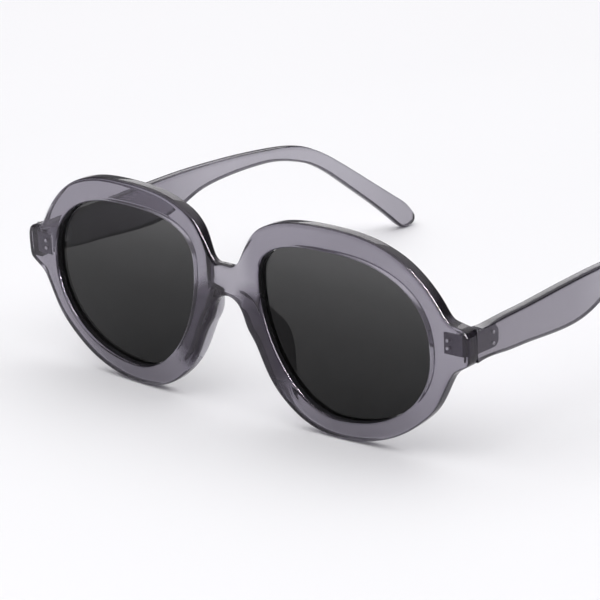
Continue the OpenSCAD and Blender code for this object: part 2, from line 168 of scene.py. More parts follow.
def outward(loop):
    """Unit normals that point out of a closed loop."""
    d = np.roll(loop, -1, 0) - np.roll(loop, 1, 0)
    n = np.stack([d[:, 1], -d[:, 0]], 1) / np.hypot(*d.T)[:, None]
    area = 0.5 * np.sum(loop[:, 0] * np.roll(loop[:, 1], -1) - np.roll(loop[:, 0], -1) * loop[:, 1])
    return n if area > 0 else -n


def front_outline():
    """The outline of the whole front: the half on +X and its mirror image."""
    half = [[s[0] * BRIDGE_W / 2, BRIDGE_TOP * s[1]] for s in NOTCH]
    half += [list(rim_point(a)) for a in range(148, 35, -14)]
    half += [[HALF_W + s[0] * END_REACH, END_Z + s[1] * END_H] for s in END]
    half += [list(rim_point(a)) for a in range(334, 207, -14)]
    half += [[s[0] * BRIDGE_W / 2, BRIDGE_TOP - BRIDGE_H + s[1] * BRIDGE_H] for s in ARCH]
    whole = half + [[-p[0], p[1]] for p in half[-2:0:-1]]
    return soften(closed_spline(whole, 0.4), 3)


def lens_outline(grow, step=0.5):
    """The lens's edge, made larger all round by grow."""
    loop = np.array([p + grow * n for p, n in (lens_frame(a) for a in np.linspace(0, 360, 720, endpoint=False))])
    return soften(even(loop, step), 2)


# Each point of a temple's outline, in shares of its reach and of the height of its top over the floor
TEMPLE_TOP_EDGE = [[-0.03, 0.993], [0, 0.998], [0.054, 1.011], [0.109, 1.022], [0.166, 1.034], [0.224, 1.05],
                   [0.282, 1.063], [0.34, 1.072], [0.391, 1.073], [0.441, 1.069], [0.492, 1.062], [0.55, 1.047],
                   [0.608, 1.025], [0.655, 0.995], [0.69, 0.954], [0.721, 0.896], [0.75, 0.832], [0.807, 0.681],
                   [0.864, 0.522], [0.923, 0.357], [0.953, 0.274]]
TEMPLE_TIP = [[0.973, 0.215], [0.989, 0.15], [1, 0.08], [0.996, 0.027], [0.983, 0.003], [0.971, 0], [0.958, 0.022]]
TEMPLE_FOOT = [[0.941, 0.077], [0.885, 0.265], [0.827, 0.445], [0.77, 0.619], [0.742, 0.699], [0.714, 0.767],
               [0.687, 0.82], [0.658, 0.86], [0.63, 0.891], [0.593, 0.917], [0.55, 0.926], [0.496, 0.923],
               [0.446, 0.908], [0.404, 0.882], [0.371, 0.84], [0.343, 0.792], [0.314, 0.752], [0.283, 0.728],
               [0.246, 0.719], [0.188, 0.726], [0.13, 0.738], [0.065, 0.748]]


def temple_outline(start):
    """A temple's outline along its length and up: from the joint round the tip and back, closed by its flat end."""
    foot = (HINGE_Z - TEMPLE_H / 2) / TEMPLE_TOP
    shares = TEMPLE_TOP_EDGE + TEMPLE_TIP + TEMPLE_FOOT + [[0, foot - 0.01], [-0.03, foot - 0.002]]
    fine = closed_spline([[s[0] * REACH, s[1] * TEMPLE_TOP] for s in shares], 0.1)
    keep = fine[fine[:, 0] > start]
    jump = np.argmax(np.hypot(*(np.roll(keep, -1, 0) - keep).T))
    keep = np.roll(keep, -(jump + 1), 0)
    if keep[0, 1] < keep[-1, 1]:
        keep = keep[::-1]
    keep[0, 0] = keep[-1, 0] = start
    d = np.r_[0, np.cumsum(np.hypot(*np.diff(keep, axis=0).T))]
    at = np.linspace(0, d[-1], int(d[-1] / 0.5))
    curve = np.stack([np.interp(at, d, keep[:, i]) for i in (0, 1)], 1)
    curve[1:-1] = (curve[1:-1] * 2 + curve[2:] + curve[:-2]) / 4
    zs = np.linspace(curve[-1, 1], curve[0, 1], 16)[1:-1]
    return np.vstack([curve, np.stack([np.full(len(zs), start), zs], 1)])


# ---------------------------------------------------------------- meshes
def inside(points, loop):
    """Which points lie inside a closed loop."""
    x, y = points[:, :1], points[:, 1:]
    a, b = loop, np.roll(loop, -1, 0)
    at = (b[:, 0] - a[:, 0]) * (y - a[:, 1]) / (b[:, 1] - a[:, 1] + 1e-15) + a[:, 0]
    cross = ((a[:, 1] > y) != (b[:, 1] > y)) & (x < at)
    return cross.sum(1) % 2 == 1


def clearance(points, loop):
    """How far each point is from a closed loop."""
    a, d = loop, np.roll(loop, -1, 0) - loop
    l2 = np.maximum((d * d).sum(1), 1e-12)
    best = np.full(len(points), 1e9)
    for i in range(0, len(points), 400):
        q = points[i:i + 400]
        t = np.clip(((q[:, None] - a) * d).sum(2) / l2, 0, 1)
        best[i:i + 400] = np.hypot(*np.moveaxis(a + t[..., None] * d - q[:, None], 2, 0)).min(1)
    return best


def triangulate(loops, spacing):
    """Triangles between closed loops, the first outside the others, with points of their own inside."""
    lo, hi = loops[0].min(0), loops[0].max(0)
    xs, ys = np.arange(lo[0], hi[0], spacing), np.arange(lo[1], hi[1], spacing * 0.866)
    grid = np.array([[x + (j % 2) * spacing / 2, y] for j, y in enumerate(ys) for x in xs])
    keep = inside(grid, loops[0])
    for loop in loops[1:]:
        keep &= ~inside(grid, loop)
    grid = grid[keep]
    for loop in loops:
        grid = grid[clearance(grid, loop) > spacing * 0.55]
    edges, count = [], 0
    for loop in loops:
        edges += [(count + i, count + (i + 1) % len(loop)) for i in range(len(loop))]
        count += len(loop)
    points = np.vstack(loops + [grid])
    out = delaunay_2d_cdt([Vector(p) for p in points], edges, [], 0, MERGE, True)
    index = [o[0] if o else None for o in out[3]]
    tri = np.array([[index[i] for i in f] for f in out[2] if all(index[i] is not None for i in f)])
    centre = points[tri].mean(1)
    keep = inside(centre, loops[0])
    for loop in loops[1:]:
        keep &= ~inside(centre, loop)
    return grid, tri[keep]


class Shape:
    """Collects points and faces in the plate's own coordinates: across, up and depth."""

    def __init__(self):
        self.points, self.faces = [], []

    def ring(self, xy, depth):
        """Adds points at one depth, or each at its own, and returns their numbers."""
        start = len(self.points)
        depth = np.broadcast_to(depth, len(xy))
        self.points += [(x, y, d) for (x, y), d in zip(xy, depth)]
        return np.arange(start, start + len(xy))

    def join(self, a, b):
        """Faces between two rings."""
        n = len(a)
        self.faces += [(a[i], a[(i + 1) % n], b[(i + 1) % n], b[i]) for i in range(n)]


def plate(outer, holes, depths, spacing, support=0.18):
    """A plate with shaped edges. Each loop comes with a profile: rows of (inset, depth) from its front edge to its
    back edge, where inset counts into the plastic and either may be one number or one per point."""
    s = Shape()
    ends = {0: [], 1: []}
    for number, (loop, profile) in enumerate([outer] + holes):
        into = -outward(loop) if number == 0 else outward(loop)
        first, last = profile[0], profile[-1]
        rows = [(first[0] + support, first[1])] + list(profile) + [(last[0] + support, last[1])]
        rings = [s.ring(loop + into * np.broadcast_to(r[0], len(loop))[:, None], r[1]) for r in rows]
        for a, b in zip(rings, rings[1:]):
            s.join(a, b)
        ends[0].append(rings[0])
        ends[1].append(rings[-1])
    for side in (0, 1):
        loops = [np.array([s.points[i][:2] for i in r]) for r in ends[side]]
        grid, tri = triangulate(loops, spacing)
        ids = np.concatenate(ends[side] + [s.ring(grid, depths[side])])
        s.faces += [tuple(ids[t]) for t in tri]
    return s


def clean(mesh, sharp, turn=False):
    """Merges points, drops faces without area, turns the faces outward if asked, and smooths all but sharp edges."""
    bm = bmesh.new()
    bm.from_mesh(mesh)
    bmesh.ops.remove_doubles(bm, verts=bm.verts, dist=MERGE)
    bmesh.ops.dissolve_degenerate(bm, edges=bm.edges, dist=MERGE)
    if turn:
        bmesh.ops.recalc_face_normals(bm, faces=bm.faces)
    for f in bm.faces:
        f.smooth = True
    for e in bm.edges:
        e.smooth = not (len(e.link_faces) == 2 and e.calc_face_angle(0) > math.radians(sharp))
    bm.to_mesh(mesh)
    bm.free()


def make(name, points, faces, sharp=SHARP):
    """An object from points and faces."""
    mesh = bpy.data.meshes.new(name)
    mesh.from_pydata([tuple(p) for p in points], [], [tuple(int(i) for i in f) for f in faces])
    clean(mesh, sharp, turn=True)
    obj = bpy.data.objects.new(name, mesh)
    scene.collection.objects.link(obj)
    return obj


def cut(obj, cutters, sharp=SHARP):
    """Takes closed cutters out of obj and throws them away."""
    for c in cutters:
        m = obj.modifiers.new("cut", "BOOLEAN")
        m.operation, m.object, m.solver = "DIFFERENCE", c, "EXACT"
    deps = bpy.context.evaluated_depsgraph_get()
    mesh = bpy.data.meshes.new_from_object(obj.evaluated_get(deps))
    obj.modifiers.clear()
    obj.data = mesh
    for c in cutters:
        bpy.data.objects.remove(c)
    clean(mesh, sharp)
    return obj


def block(lo, hi, place=None):
    """A box to cut with, between two corners."""
    p = np.array([[x, y, z] for x in (lo[0], hi[0]) for y in (lo[1], hi[1]) for z in (lo[2], hi[2])], float)
    if place is not None:
        p = place(p)
    f = [(0, 1, 3, 2), (4, 6, 7, 5), (0, 4, 5, 1), (2, 3, 7, 6), (0, 2, 6, 4), (1, 5, 7, 3)]
    return make("cutter", p * MM, f)


def prism_faces(n):
    """The faces of a prism whose two ends have n points each."""
    sides = [(i, (i + 1) % n, n + (i + 1) % n, n + i) for i in range(n)]
    return sides + [tuple(range(n)), tuple(range(2 * n - 1, n - 1, -1))]


def drum(centre, r, z0, z1, n=48):
    """An upright cylinder to cut with."""
    a = np.linspace(0, 2 * math.pi, n, endpoint=False)
    p = [(centre[0] + r * math.cos(t), centre[1] + r * math.sin(t), z) for z in (z0, z1) for t in a]
    return make("cutter", np.array(p) * MM, prism_faces(n))


def from_front(p):
    """Front coordinates, with its lean, to the row frame, in millimetres."""
    p = np.asarray(p, float)
    y = p[:, 1] * math.cos(TILT) - p[:, 2] * math.sin(TILT)
    z = p[:, 1] * math.sin(TILT) + p[:, 2] * math.cos(TILT)
    return np.stack([p[:, 0], y - ROW_Y, z + FRONT_Z], 1)


def front_y(q):
    """How far behind the front's own upright plane points of the row frame are, in millimetres."""
    y, z = q[:, 1] + ROW_Y, q[:, 2] - FRONT_Z
    return y * math.cos(TILT) + z * math.sin(TILT)


def quarter_round(steps):
    """Rows of inset and depth of a quarter round with radius 1, from the face to the side wall."""
    return [(1 - math.sin(a), 1 - math.cos(a)) for a in np.linspace(0, math.pi / 2, steps + 1)]


def rounded(front_r, back_r, t, steps=7):
    """The profile of a plate's edge: a quarter round at the front, one at the back and a straight wall between."""
    rows = quarter_round(steps)
    front = [(front_r * r[0], front_r * r[1]) for r in rows]
    back = [(back_r * r[0], t - back_r * r[1]) for r in reversed(rows)]
    return front + back


def wrap_y(x, depth):
    """How far back the wrapped front is at a depth in it, in its own coordinates."""
    return BEND_R - np.sqrt((BEND_R - depth) ** 2 - x ** 2)


def dome_y(x, z, depth):
    """How far back the left lens is at a depth in it: a dome that stands square to the wrapped front."""
    turn = math.asin(LENS_X / BEND_R)
    back = LENS_R + RECESS - BEND_R
    cx, cy = -back * math.sin(turn), BEND_R + back * math.cos(turn)
    return cy - np.sqrt((LENS_R - depth) ** 2 - (x - cx) ** 2 - z ** 2)


# A nose pad's height along its length. Across it, the pad rises within PAD_ROOT of the outline, keeps its height up to
# the first number of PAD_FALL and is gone at the second. The rows of the back edge reach PAD_FLAT in from the outline
# where the pad is higher than PAD_FULL, and BACK_FLAT past the rounding where there is none. The last three say where
# on the outline a pad can be
PAD_HEIGHTS = [(-17.5, 0), (-16, 0.35), (-14.5, 1.0), (-11.4, 2.5), (-8.4, 3.7), (-4.6, 4.85), (-1.9, 5.5), (0.5, 5.75),
               (2.7, 5.6), (6.8, 4.5), (9, 3.2), (11, 1.6), (13, 0.4), (14.5, 0)]
PAD_FLAT, PAD_ROOT, PAD_FALL, PAD_FULL, BACK_FLAT = 4.4, 1.1, (1.4, 4.3), 1.2, 0.25
PAD_X, PAD_BELOW, PAD_ASIDE = (2.5, 25), 6, 7


def smooth_step(v, a, b):
    """Zero up to a, one from b on, and smooth between."""
    v = np.clip((v - a) / (b - a), 0, 1)
    return v * v * (3 - 2 * v)


PAD_FOOT = [rim_point(a)[0] for a in range(180, 261, 2) if rim_point(a)[1] < -PAD_DROP][0] + PAD_T / 3


def pad_height(loop):
    """How far the glued nose pad stands behind the rim at each point of the front's outline."""
    x = np.abs(loop[:, 0])
    t = -(x - PAD_FOOT) * math.sin(PAD_LEAN) + (loop[:, 1] + PAD_DROP) * math.cos(PAD_LEAN)
    aside = (x - PAD_FOOT) * math.cos(PAD_LEAN) + (loop[:, 1] + PAD_DROP) * math.sin(PAD_LEAN)
    ts, hs = np.array(PAD_HEIGHTS).T
    h = np.interp(t, ts, hs)
    h = np.where((x > PAD_X[0]) & (x < PAD_X[1]) & (loop[:, 1] < PAD_BELOW) & (np.abs(aside) < PAD_ASIDE), h, 0)
    for _ in range(30):
        h = h * 0.5 + (np.roll(h, 1) + np.roll(h, -1)) * 0.25
    return h


def back_edge(loop, r, t):
    """Rows from the side wall over the back edge onto the back face, and over the nose pad where there is one."""
    h = pad_height(loop)
    zone = smooth_step(h, 0, PAD_FULL)
    rows = []
    flat = r + (PAD_FLAT - r) * zone + BACK_FLAT * (1 - zone)
    shares = [(1 - math.cos(a), 1 - math.sin(a)) for a in np.linspace(0, math.pi / 2, 13)]
    base = [(r * c, t - r * d) for c, d in shares]
    base += [(r + (flat - r) * k, np.full(len(loop), t)) for k in np.linspace(0, 1, 19)[1:]]
    for inset, depth in base:
        rise = 1 - (1 - np.clip(inset / PAD_ROOT, 0, 1)) ** 1.7
        g = rise * (1 - smooth_step(inset, *PAD_FALL))
        rows.append((inset + math.tan(PAD_SPLAY) * h * g ** 1.8, depth + h * g))
    return rows


# Faces of a lens seat are this near to the lens's edge, with less than this share of their normal forward. Those of an
# end wall are this near to the front's end, with more than this share sideways. Both are painted dark, as painted
# shade.
# Those of a lens's edge have less than this share forward
SEAT_NEAR, SEAT_FORWARD, END_NEAR, END_SIDEWAYS, EDGE_FORWARD = 0.75, 0.35, 3, 0.75, 0.8


def build_front():
    """The front with its nose pads, as one mesh with pockets for the hinges."""
    outline = front_outline()
    x = np.abs(outline[:, 0])
    ease = np.clip((x - END_EASE[0]) / END_EASE[1], 0, 1)
    back_r = EDGE_R * (1 - ease) + SEAT_R * ease
    front_r = EDGE_R - END_LESS * ease
    front_rows = [(front_r * k, front_r * d) for k, d in quarter_round(9)]
    outer = (outline, front_rows + back_edge(outline, back_r, FRONT_T))
    hole = lens_outline(0)
    holes = [(hole * [side, 1], rounded(HOLE_FRONT_R, HOLE_BACK_R, FRONT_T, 6)) for side in (1, -1)]
    s = plate(outer, holes, (0, FRONT_T), FRONT_MESH)
    q = np.array(s.points)
    saddle = (1 - smooth_step(np.abs(q[:, 0]), *SADDLE_X)) * smooth_step(q[:, 1], *SADDLE_Z)
    q[:, 2] -= SADDLE * saddle * smooth_step(q[:, 2], SADDLE_FROM, FRONT_T)
    p = np.array([(a, wrap_y(a, d), b) for a, b, d in q])
    at_seat = np.abs(p[:, 0]) > MITRE_X - SEAT_IN
    p[at_seat, 1] = np.minimum(p[at_seat, 1], MITRE_Y)
    obj = make("front", from_front(p) * MM, s.faces, FRONT_SHARP)
    cutters = []
    for side in (1, -1):
        lo = np.array([HINGE_X - FRONT_LEAF_IN - GAP, SEAT_Y - FRONT_POCKET - GAP - ROW_Y, HINGE_Z - LEAF_HALF - GAP])
        hi = np.array([HINGE_X + FRONT_LEAF_OUT + GAP, SEAT_Y + 3 - ROW_Y, HINGE_Z + LEAF_HALF + GAP])
        if side < 0:
            lo[0], hi[0] = -hi[0], -lo[0]
        cutters.append(block(lo, hi))
    obj = cut(obj, cutters, FRONT_SHARP)
    for look in (plastic_front, shaded_hole_wall, shaded_end_wall):
        obj.data.materials.append(look)
    faces = obj.data.polygons
    c = np.array([f.center for f in faces]) / MM
    c[:, 2] = (c[:, 2] - FRONT_Z) / math.cos(TILT) - front_y(c) * math.tan(TILT)
    at_hole = clearance(np.abs(c[:, :1]) * [1, 0] + c[:, 2:] * [0, 1], hole) < SEAT_NEAR
    # The lens seats and end walls take the dark materials of painted shade
    for f, near in zip(faces, at_hole):
        f.material_index = int(near and abs(f.normal.y) < SEAT_FORWARD)
        if abs(f.center.x) > (HALF_W - END_NEAR) * MM and abs(f.normal.x) > END_SIDEWAYS:
            f.material_index = 2
    return obj


def build_lens(side):
    """A lens, on the wearer's left for side 1 and on the right for -1, with its sharp edges just broken."""
    loop = lens_outline(-GAP)
    rows = [(0.06, 0), (0.02, 0.02), (0, 0.06)]
    rows += [(0, LENS_T / 2)] + [(inset, LENS_T - depth) for inset, depth in reversed(rows)]
    s = plate((loop, rows), [], (0, LENS_T), LENS_MESH)
    p = np.array([(a * side, dome_y(a, b, d), b) for a, b, d in s.points])
    obj = make("lens_visual_" + ("left" if side > 0 else "right"), from_front(p) * MM, s.faces)
    obj.data.materials.append(lens_tint_and_shade)
    obj.data.materials.append(lens_edge)
    for f in obj.data.polygons:
        f.material_index = int(abs(f.normal.y) < EDGE_FORWARD)
    return obj


def temple_place(along, up, out, side):
    """A temple's own coordinates, from the pin, to the row frame."""
    n = np.array([math.cos(CONVERGE), math.sin(CONVERGE)])
    u = np.array([-math.sin(CONVERGE), math.cos(CONVERGE)])
    x = HINGE_X + (PIN_OUT + out) * n[0] + along * u[0]
    y = HINGE_Y + (PIN_OUT + out) * n[1] + along * u[1]
    return np.stack([x * side, y - ROW_Y, up], 1)


def build_temple(side):
    """A temple, drawn a little too long, then cut to its seat on the front and given room for its hinge."""
    seat = -(HINGE_Y - SEAT_Y)
    loop = temple_outline(seat - TEMPLE_OVER)
    ease = smooth_step(loop[:, 0], seat + TEMPLE_EASE[0], seat + TEMPLE_EASE[1])
    r = TEMPLE_SEAT_R + (TEMPLE_R - TEMPLE_SEAT_R) * ease
    s = plate((loop, rounded(r, r, TEMPLE_T)), [], (0, TEMPLE_T), TEMPLE_MESH)
    p = np.array(s.points)
    name = "temple_visual_" + ("left" if side > 0 else "right")
    obj = make(name, temple_place(p[:, 0], p[:, 1], p[:, 2], side) * MM, s.faces)
    pin, low, high = (side * HINGE_X, HINGE_Y - ROW_Y), HINGE_Z - LEAF_HALF - GAP, HINGE_Z + LEAF_HALF + GAP + HEAD_H
    return cut(obj, [leaf_cutter(side, TEMPLE_LEAF + GAP, LEAF_HALF + GAP, LEAF_CORNER),
                     drum(pin, KNUCKLE_ROOM, low, high),
                     block((-90, MITRE_Y - 6, END_Z - 20), (90, MITRE_Y + SEAT_GAP, END_Z + 20), from_front)])


def leaf_cutter(side, far, half, corner):
    """The pocket of a temple's hinge leaf, with rounded corners at its far end."""
    x, r = far - corner, corner
    pts = [(-0.6, -half), (x, -half)]
    pts += [(x + r * math.sin(a), -half + r - r * math.cos(a)) for a in np.linspace(0.15, math.pi / 2, 8)]
    pts += [(x + r * math.cos(a), half - r + r * math.sin(a)) for a in np.linspace(0, math.pi / 2, 9)]
    pts += [(-0.6, half)]
    p = np.array([(a, b, o) for o in (-1.0, TEMPLE_POCKET) for a, b in pts])
    return make("cutter", temple_place(p[:, 0], p[:, 1] + HINGE_Z, p[:, 2], side) * MM, prism_faces(len(pts)))


# ---------------------------------------------------------------- materials
def add(t, kind, **values):
    """A new node with its settings."""
    n = t.nodes.new(kind)
    for k, v in values.items():
        setattr(n, k, v)
    return n


def put(t, socket, value):
    """Links another node's output to a socket, or sets it to a number or colour."""
    if isinstance(value, bpy.types.NodeSocket):
        t.links.new(value, socket)
    else:
        socket.default_value = value + (1,) if isinstance(value, tuple) else value


def material(name):
    """A new material: itself, its node tree, its Principled shader, its output and its coordinates."""
    m = bpy.data.materials.new(name)
    m.use_nodes = True
    t = m.node_tree
    t.nodes.clear()
    out = add(t, "ShaderNodeOutputMaterial")
    p = add(t, "ShaderNodeBsdfPrincipled")
    t.links.new(p.outputs["BSDF"], out.inputs["Surface"])
    return m, t, p, out, add(t, "ShaderNodeTexCoord")


def noise(t, coord, scale, detail):
    """Noise that stays with the object."""
    n = add(t, "ShaderNodeTexNoise")
    for key, v in (("Vector", coord.outputs["Object"]), ("Scale", scale), ("Detail", detail)):
        put(t, n.inputs[key], v)
    return n.outputs["Fac"]


def split(t, source):
    """The X, Y and Z of a vector."""
    n = add(t, "ShaderNodeSeparateXYZ")
    t.links.new(source, n.inputs["Vector"])
    return n.outputs


def calc(t, operation, *values):
    """The result of a Math node."""
    n = add(t, "ShaderNodeMath", operation=operation)
    for socket, v in zip(n.inputs, values):
        put(t, socket, v)
    return n.outputs["Value"]


def span(t, source, lo, hi, a=0.0, b=1.0):
    """Maps a value from the range a..b to the range lo..hi."""
    r = add(t, "ShaderNodeMapRange")
    for key, v in (("Value", source), ("From Min", a), ("From Max", b), ("To Min", lo), ("To Max", hi)):
        put(t, r.inputs[key], v)
    return r.outputs["Result"]


def blend(t, factor, first, second):
    """A colour between two colours."""
    n = add(t, "ShaderNodeMix", data_type="RGBA")
    for socket, v in ((n.inputs["Factor"], factor), (n.inputs[6], first), (n.inputs[7], second)):
        put(t, socket, v)
    return n.outputs[2]


def ramp(t, source, stops):
    """A colour for a value, from stops of (position, colour)."""
    r = add(t, "ShaderNodeValToRGB")
    e = r.color_ramp.elements
    while len(e) < len(stops):
        e.new(0.5)
    for el, (at, c) in zip(e, stops):
        el.position = at
        el.color = tuple(c) + (1,)
    t.links.new(source, r.inputs["Fac"])
    return r.outputs["Color"]


def plastic(name, sigma, tints, flat, edge, pads=None, along_z=False, clear=1.0):
    """Clear plastic that absorbs sigma per metre in red, green and blue. Its tint changes along the piece: along a
    temple from front to back, as its thickness does; up the front it is painted shade, darker towards the bottom. Its
    colour is also painted darker on the edges than on the faces across its flat axis, as painted shade. Its polish is
    faintly uneven."""
    m, t, p, out, coord = material(name)
    put(t, p.inputs["Transmission Weight"], clear)
    put(t, p.inputs["IOR"], PLASTIC_IOR)
    put(t, p.inputs["Specular Tint"], VIOLET)
    place, facing = split(t, coord.outputs["Object"]), split(t, coord.outputs["Normal"])
    # Up the front the tint is painted shade: darker towards the bottom
    level = span(t, place["Z"], 0, 1, *HEIGHT) if along_z else span(t, place["Y"], 0, 1, *LENGTH)
    tint = ramp(t, calc(t, "MULTIPLY_ADD", noise(t, coord, *CLOUDS), DRIFT, level), tints)
    # Painted shade: faces turned sideways take the darker edge colour
    flatness = calc(t, "ABSOLUTE", facing[flat])
    colour = blend(t, span(t, flatness, 0, 1, *FACING), edge, tint)
    rough = span(t, noise(t, coord, *WEAR), *POLISH)
    if pads:
        colour, rough = pad_look(t, p, place, facing, flatness, colour, rough, pads)
    put(t, p.inputs["Base Color"], colour)
    put(t, p.inputs["Roughness"], rough)
    bump = add(t, "ShaderNodeBump")
    for key, v in (("Strength", BUMP), ("Distance", BUMP_DEPTH), ("Height", noise(t, coord, *RIPPLES))):
        put(t, bump.inputs[key], v)
    put(t, p.inputs["Normal"], bump.outputs["Normal"])
    density = max(sigma) * 1.2  # a little over the strongest, so that no colour is used up
    vol = add(t, "ShaderNodeVolumeAbsorption")
    put(t, vol.inputs["Density"], density)
    put(t, vol.inputs["Color"], tuple(1 - s / density for s in sigma))
    t.links.new(vol.outputs["Volume"], out.inputs["Volume"])
    return m


def pad_look(t, p, place, facing, flatness, colour, rough, pads):
    """The look of the glued nose pads in the front's plastic: painted darker than the rims, and darker still behind, as
    painted shade; duller behind and on the edges, and milky on the faces towards the nose."""
    zone = pad_zone(t, place)
    outward_x = calc(t, "MULTIPLY", calc(t, "SIGN", place["X"]), facing["X"])
    behind = calc(t, "MULTIPLY", zone, span(t, place["Y"], 0, 1, *[(y - ROW_Y) * MM for y in PAD_BEHIND]))
    inner = calc(t, "MULTIPLY", span(t, outward_x, 1, 0, *PAD_NOSEWARD), behind)
    # Painted shade: the pads darker than the rims, darkest behind the front's face
    colour = blend(t, zone, colour, blend(t, behind, pads["front"], pads["back"]))
    colour = blend(t, inner, colour, pads["nose"])
    put(t, p.inputs["Transmission Weight"], span(t, inner, 1, 1 - pads["milky"]))
    sideways = calc(t, "MULTIPLY", zone, span(t, flatness, 1, 0, *FACING))
    return colour, calc(t, "MULTIPLY_ADD", calc(t, "MAXIMUM", behind, sideways), pads["dull"], rough)


def pad_zone(t, place):
    """One inside the glued nose pads and their joints, falling to zero round them."""
    both = add(t, "ShaderNodeCombineXYZ")
    for axis, v in (("X", calc(t, "ABSOLUTE", place["X"])), ("Y", place["Y"]), ("Z", place["Z"])):
        put(t, both.inputs[axis], v)
    local = add(t, "ShaderNodeMapping", vector_type="TEXTURE")
    local.inputs["Location"].default_value = PAD_CENTRE
    local.inputs["Rotation"].default_value = (0, -PAD_LEAN, 0)
    local.inputs["Scale"].default_value = PAD_SIZE
    put(t, local.inputs["Vector"], both.outputs["Vector"])
    far = add(t, "ShaderNodeVectorMath", operation="LENGTH")
    put(t, far.inputs[0], local.outputs["Vector"])
    return span(t, far.outputs["Value"], 1, 0, *PAD_FADE)


def shaded_tinted_lens(name):
    """A dark tinted lens, painted lighter towards the top as painted reflection and darker towards the bottom as
    painted shade.
    """
    m, t, p, _, coord = material(name)
    put(t, p.inputs["Transmission Weight"], 1.0)
    put(t, p.inputs["IOR"], LENS_IOR)
    level = span(t, split(t, coord.outputs["Object"])["Z"], 0, 1, LENS_FOOT * MM, (LENS_FOOT + LENS_SPAN) * MM)
    height = calc(t, "MULTIPLY_ADD", noise(t, coord, 40, 3), LENS_DRIFT, level)
    stops = [((z - LENS_FOOT) / LENS_SPAN, (v, v * 1.005, v)) for z, v in LENS_SHADE_STOPS]
    put(t, p.inputs["Base Color"], ramp(t, height, stops))
    put(t, p.inputs["Roughness"], span(t, noise(t, coord, 120, 4), 0.005, 0.03))
    return m


def dark_edge(name):
    """The ground edge of a dark lens, where hardly any light comes through."""
    m, t, p, _, coord = material(name)
    grain = noise(t, coord, 700, 4)
    put(t, p.inputs["Base Color"], ramp(t, grain, [(0.3, (0.03, 0.03, 0.031)), (0.8, (0.05, 0.05, 0.052))]))
    put(t, p.inputs["Roughness"], span(t, grain, 0.25, 0.45))
    return m


def metal(name, colour, rough):
    """Plated metal with a fine grain."""
    m, t, p, _, coord = material(name)
    put(t, p.inputs["Metallic"], 1.0)
    grain = noise(t, coord, 900, 4)
    put(t, p.inputs["Base Color"], ramp(t, grain, [(0, [c * 0.8 for c in colour]), (1, colour)]))
    put(t, p.inputs["Roughness"], span(t, grain, rough * 0.7, rough * 1.3))
    return m


def floor_material():
    """A pale matt ground with faint clouds."""
    m, t, p, _, coord = material("floor")
    cloud = noise(t, coord, 3, 2)
    put(t, p.inputs["Base Color"], ramp(t, cloud, [(0, (0.86, 0.855, 0.875)), (1, (0.9, 0.895, 0.915))]))
    put(t, p.inputs["Roughness"], 0.7)
    put(t, p.inputs["Specular IOR Level"], 0.1)
    return m


PLASTIC_IOR, LENS_IOR = 1.49, 1.2
VIOLET = (0.96, 0.88, 1.0)
# A face counts as an edge, painted with the darker shade, below the first share of its normal across the plate, and as
# flat above the second
FACING = (0.35, 0.9)
# Where the tints start and end, in metres: up from the floor, for the front's painted shade, and from front to back
HEIGHT, LENGTH = (0, 0.054), (-0.075, 0.075)
# The plastic's noises, as scale and detail, and what they do: how far the clouds move a tint along its stops, the
# roughness that the wear varies, and the strength and depth in metres of the ripples
CLOUDS, WEAR, RIPPLES = (25, 2), (90, 5), (420, 2)
DRIFT, LENS_DRIFT, POLISH, BUMP, BUMP_DEPTH = 0.06, 0.02, (0.012, 0.045), 0.012, 0.0004
# The nose pads' looks: the middle and half sizes of their zone, in metres, the share of it where they start to fade,
# how far behind the front's face their painted shade turns darker, in millimetres, how far a face has to turn to the
# nose
# to be milky, and their colours: painted shade in front and behind, milky towards the nose
PAD_FADE, PAD_BEHIND, PAD_NOSEWARD = (0.7, 1), (1.8, 2.1), (-0.6, -0.3)
PAD_CENTRE = ((PAD_FOOT + 1.3) * MM, (FRONT_T + 1.5 - ROW_Y) * MM, (FRONT_Z - PAD_DROP + 2.2) * MM)
PAD_SIZE = (0.0078, 0.011, 0.0155)
PAD_SHADES_AND_FINISH = dict(front=(0.17, 0.16, 0.19), back=(0.12, 0.11, 0.135), nose=(0.5, 0.49, 0.53), milky=0.8, dull=0.3)
# The lens's brightness at heights over the floor, in millimetres, between its foot and the top of the span: painted
# reflection at the top, painted shade at the bottom
LENS_FOOT, LENS_SPAN = 4, 50
LENS_SHADE_STOPS = [(8, 0.019), (14, 0.021), (20, 0.026), (26, 0.031), (32, 0.043), (38, 0.058), (44, 0.086), (48, 0.102)]
# What the plastic absorbs per metre in red, green and blue, and its tints along each piece. The front's is painted
# shade, darker towards the bottom, and the lens seats' and end walls' are painted shade, dark on clear plastic
FRONT_SIGMA, TEMPLE_SIGMA = (246, 258, 226), (202, 209, 184)
FRONT_TINT_AND_SHADE = [(0.05, (0.6, 0.595, 0.61)), (0.25, (0.67, 0.665, 0.68)), (0.5, (0.765, 0.76, 0.775)),
              (0.7, (0.79, 0.785, 0.8)), (1.0, (0.8, 0.795, 0.81))]
TEMPLE_TINT = [(0.06, (0.51, 0.49, 0.51)), (0.36, (0.61, 0.595, 0.615)), (0.5, (0.87, 0.86, 0.87)),
               (0.8, (0.93, 0.925, 0.93)), (1.0, (0.74, 0.73, 0.74))]
HOLE_SHADE = [(0.0, (0.1, 0.1, 0.105)), (1.0, (0.13, 0.13, 0.135))]
END_SHADE = [(0.0, (0.1, 0.085, 0.125)), (1.0, (0.13, 0.11, 0.155))]
